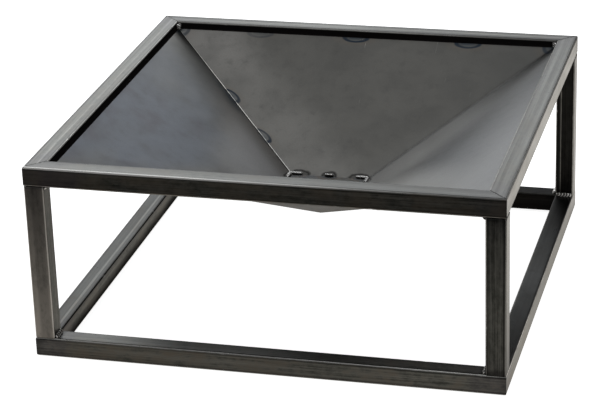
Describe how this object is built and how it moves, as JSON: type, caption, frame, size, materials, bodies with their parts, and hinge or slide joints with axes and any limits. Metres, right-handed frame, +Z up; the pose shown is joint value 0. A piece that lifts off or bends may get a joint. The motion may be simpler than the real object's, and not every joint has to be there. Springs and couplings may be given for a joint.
{
  "type": "fire pit",
  "caption": "Square raw steel fire pit: a folded inverted-pyramid bowl with a small floor plate, welded into an open frame of square tube.",
  "frame": {"origin": "on the ground, under the middle of the frame", "axes": "+Z up; the front, which is one of four like sides, faces -Y; +X is to the right seen from the front"},
  "size_m": [0.7, 0.7, 0.3],
  "materials": {
    "frame_steel": "raw mill-scale square tube, waxed, with lighter worn edges and fine drawing streaks along its length",
    "bowl_steel": "raw hot-rolled sheet, satin, cloudy blue-grey mill scale with faint heat tints at the tacks",
    "plate_steel": "raw hot-rolled sheet, satin, darker round its beads",
    "weld_metal": "rippled weld metal, dark with bright spots"
  },
  "bodies": {
    "root": {"base_rail_front": "frame_steel", "base_rail_right": "frame_steel", "base_rail_back": "frame_steel", "base_rail_left": "frame_steel", "top_rail_front": "frame_steel", "top_rail_right": "frame_steel", "top_rail_back": "frame_steel", "top_rail_left": "frame_steel", "post_front_left": "frame_steel", "post_front_right": "frame_steel", "post_back_right": "frame_steel", "post_back_left": "frame_steel", "bowl_sheet_back_right": "bowl_steel", "bowl_sheet_front_left": "bowl_steel", "floor_plate": "plate_steel", "weld_post_foot_front_left_on_front_rail": "weld_metal", "weld_post_foot_front_left_on_left_rail": "weld_metal", "weld_post_head_front_left_on_front_rail": "weld_metal", "weld_post_head_front_left_on_left_rail": "weld_metal", "weld_post_foot_front_right_on_right_rail": "weld_metal", "weld_post_foot_front_right_on_front_rail": "weld_metal", "weld_post_head_front_right_on_right_rail": "weld_metal", "weld_post_head_front_right_on_front_rail": "weld_metal", "weld_post_foot_back_right_on_back_rail": "weld_metal", "weld_post_foot_back_right_on_right_rail": "weld_metal", "weld_post_head_back_right_on_back_rail": "weld_metal", "weld_post_head_back_right_on_right_rail": "weld_metal", "weld_post_foot_back_left_on_left_rail": "weld_metal", "weld_post_foot_back_left_on_back_rail": "weld_metal", "weld_post_head_back_left_on_left_rail": "weld_metal", "weld_post_head_back_left_on_back_rail": "weld_metal", "weld_ring_front_left": "weld_metal", "weld_ring_front_right": "weld_metal", "weld_ring_back_right": "weld_metal", "weld_ring_back_left": "weld_metal", "weld_rim_front_1": "weld_metal", "weld_rim_front_2": "weld_metal", "weld_rim_front_3": "weld_metal", "weld_rim_right_1": "weld_metal", "weld_rim_right_2": "weld_metal", "weld_rim_right_3": "weld_metal", "weld_rim_back_1": "weld_metal", "weld_rim_back_2": "weld_metal", "weld_rim_back_3": "weld_metal", "weld_rim_left_1": "weld_metal", "weld_rim_left_2": "weld_metal", "weld_rim_left_3": "weld_metal", "weld_seam_back_left_1": "weld_metal", "weld_seam_back_left_2": "weld_metal", "weld_seam_front_right_1": "weld_metal", "weld_seam_front_right_2": "weld_metal", "weld_plate_front_left": "weld_metal", "weld_plate_front": "weld_metal", "weld_plate_front_right": "weld_metal", "weld_plate_right": "weld_metal", "weld_plate_back_right": "weld_metal", "weld_plate_back": "weld_metal", "weld_plate_back_left": "weld_metal", "weld_plate_left": "weld_metal"}
  },
  "joints": []
}
